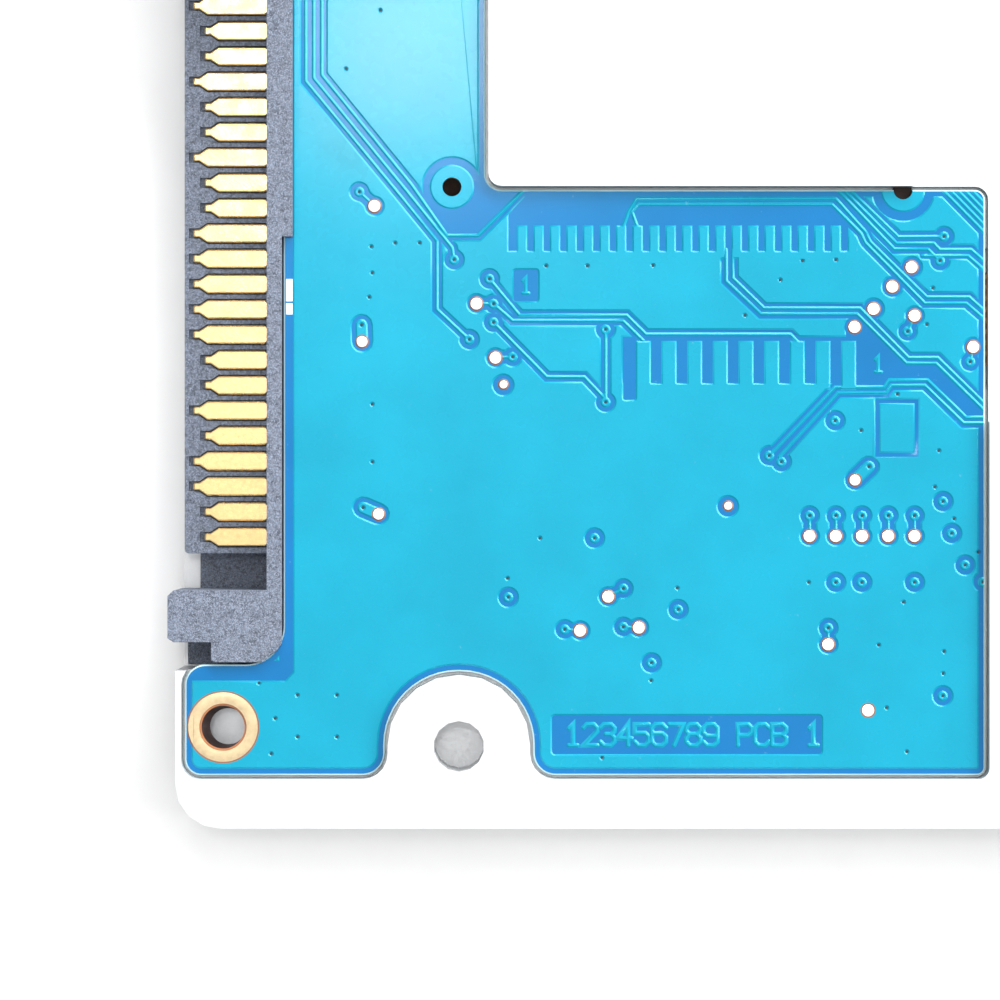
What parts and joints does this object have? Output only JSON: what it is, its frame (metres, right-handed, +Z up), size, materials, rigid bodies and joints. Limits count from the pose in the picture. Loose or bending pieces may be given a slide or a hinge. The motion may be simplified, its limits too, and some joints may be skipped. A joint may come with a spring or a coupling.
{
  "type": "hard disk drive",
  "caption": "A thin 2.5-inch hard disk drive, circuit board upwards, with a two-tongue data and power connector at one end and a platter, actuator and motor sealed inside",
  "frame": {"origin": "The middle of the whole drive's footprint, on the plane of the top cover's outer face. The drive lies on its cover, board side up.", "axes": "+X runs along the length from the connector end to the far end, +Y across the width, +Z up towards the circuit board side"},
  "size_m": [0.1002, 0.0698, 0.007],
  "materials": {
    "casting": "die-cast aluminium, bead-blasted, satin",
    "cover": "pressed steel sheet, fine brushed",
    "screws": "passivated steel, satin",
    "bright_steel": "ground steel, bright",
    "magnets": "nickel plate, satin",
    "gasket": "black elastomer, matt",
    "label": "white printed film, satin",
    "board": "cyan-blue solder mask over copper, satin",
    "connector": "dark grey glass-filled plastic, faintly speckled",
    "chip": "black moulded epoxy, matt",
    "gold": "gold plate, bright",
    "winding": "enamelled copper wire, glossy",
    "light_plastic": "ivory acetal, satin",
    "flex": "amber polyimide film, glossy",
    "filter": "white non-woven filter cloth, matt",
    "disk": "polished magnetic disk, mirror bright"
  },
  "bodies": {
    "drive": {"air_filter": "filter", "base_casting": "casting", "bearing_sleeve": "bright_steel", "board_screw_1": "screws", "board_screw_2": "screws", "breather_filter": "filter", "circuit_board": "board", "coil_magnet": "magnets", "connector_housing": "connector", "controller_chip": "chip", "cover_gasket": "gasket", "cover_label": "label", "cover_screw_1": "screws", "cover_screw_2": "screws", "cover_screw_3": "screws", "cover_screw_4": "screws", "cover_screw_5": "screws", "cover_screw_6": "screws", "flex_connector": "connector", "flex_ribbon": "flex", "load_ramp": "light_plastic", "lower_yoke": "magnets", "motor_flex": "flex", "motor_stator": "winding", "pivot_post": "bright_steel", "power_contact_1": "gold", "power_contact_10": "gold", "power_contact_11": "gold", "power_contact_12": "gold", "power_contact_13": "gold", "power_contact_14": "gold", "power_contact_15": "gold", "power_contact_2": "gold", "power_contact_3": "gold", "power_contact_4": "gold", "power_contact_5": "gold", "power_contact_6": "gold", "power_contact_7": "gold", "power_contact_8": "gold", "power_contact_9": "gold", "signal_contact_1": "gold", "signal_contact_2": "gold", "signal_contact_3": "gold", "signal_contact_4": "gold", "signal_contact_5": "gold", "signal_contact_6": "gold", "signal_contact_7": "gold", "top_cover": "cover", "upper_yoke": "magnets"},
    "rotor": {"spindle_hub": "bright_steel", "rotor_magnet": "magnets", "platter": "disk", "disk_clamp": "bright_steel", "clamp_screw": "screws"},
    "actuator": {"actuator_arm": "casting", "pivot_bearing": "bright_steel", "voice_coil": "winding", "head_suspension_lower": "bright_steel", "head_suspension_upper": "bright_steel"},
    "latch": {"shock_latch": "light_plastic"}
  },
  "joints": [
    {"name": "spindle_spin", "type": "hinge", "parent": "drive", "child": "rotor", "pos_m": [0.0155, 0, 0], "axis": [0, 0, 1], "continuous": true},
    {"name": "actuator_swing", "type": "hinge", "parent": "drive", "child": "actuator", "pos_m": [-0.0205, 0.0135, 0], "axis": [0, 0, 1], "range_deg": [0, 38], "deforming": ["flex_ribbon"]},
    {"name": "latch_swing", "type": "hinge", "parent": "drive", "child": "latch", "pos_m": [-0.0109, 0.0282, 0], "axis": [0, 0, 1], "range_deg": [0, 6]}
  ]
}
